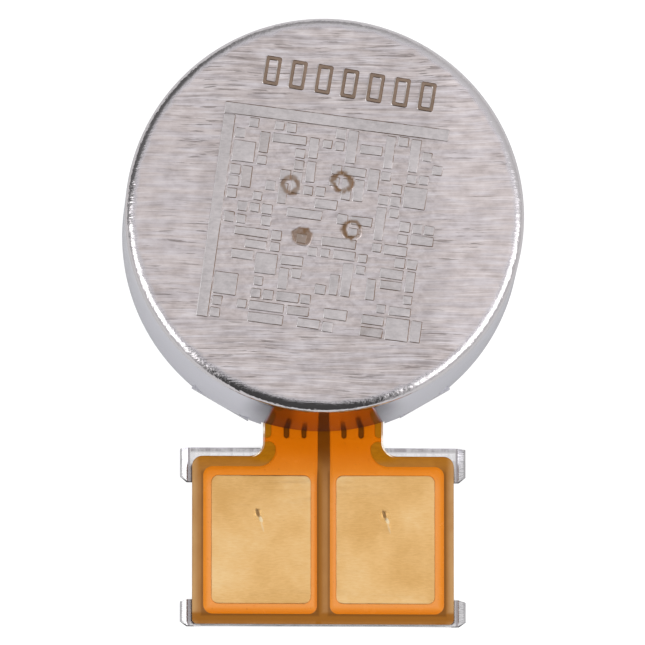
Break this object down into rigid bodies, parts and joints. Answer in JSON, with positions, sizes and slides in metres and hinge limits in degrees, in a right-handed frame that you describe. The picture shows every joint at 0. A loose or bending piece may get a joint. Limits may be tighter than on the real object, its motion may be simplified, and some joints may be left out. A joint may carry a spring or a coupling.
{
  "type": "coin vibration motor",
  "caption": "Round flat vibration motor: a sprung weight moves up and down inside a steel cup, and a flexible film tail with gold contact pads folds at its neck.",
  "frame": {"origin": "centre of the base plate's underside", "axes": "+Z out of the case top, +Y away from the contact tail, +X to the right when the tail points down"},
  "size_m": [0.01, 0.0149, 0.0036],
  "materials": {
    "case_steel": "brushed top, polished rim and wall",
    "base_steel": "rolled",
    "stiffener_steel": "rolled, stamped edges",
    "spring_steel": "etched",
    "yoke_steel": "plated",
    "weight_alloy": "sintered",
    "magnet": "nickel plated",
    "coil_copper": "enamelled",
    "lead_copper": "enamelled",
    "solder": "bright",
    "damper": "matte",
    "bond": "adhesive",
    "film_base": "satin amber film",
    "copper_pour": "copper seen through amber film",
    "cover_film": "glossy amber film",
    "gold": "satin gold plating"
  },
  "bodies": {
    "housing": {"case": "case_steel", "base_plate": "base_steel", "film_motor": "cover_film", "bond_motor": "bond", "voice_coil": "coil_copper", "coil_lead_left": "lead_copper", "coil_lead_right": "lead_copper", "solder_left": "solder", "solder_right": "solder", "base_damper": "damper", "top_damper": "damper", "leaf_spring": "spring_steel", "film_neck": "cover_film"},
    "vibrator": {"weight_ring": "weight_alloy", "yoke": "yoke_steel", "magnet": "magnet", "pole_plate": "yoke_steel"},
    "tail": {"film_tail": "film_base", "copper_left": "copper_pour", "copper_right": "copper_pour", "cover_tail": "cover_film", "pad_left": "gold", "pad_right": "gold", "bond_tail": "bond", "stiffener_plate": "stiffener_steel"}
  },
  "joints": [
    {"name": "vibrator_slide", "type": "slide", "parent": "housing", "child": "vibrator", "axis": [0, 0, 1], "range_m": [-0.00035, 0.00035], "stiffness_N_per_m": 300, "deforming": ["leaf_spring"]},
    {"name": "tail_fold", "type": "hinge", "parent": "housing", "child": "tail", "pos_m": [0.00006, -0.00521, 0.0003], "axis": [-1, 0, 0], "range_deg": [-90, 90], "stiffness_Nm_per_rad": 0.0002, "deforming": ["film_neck"]}
  ]
}
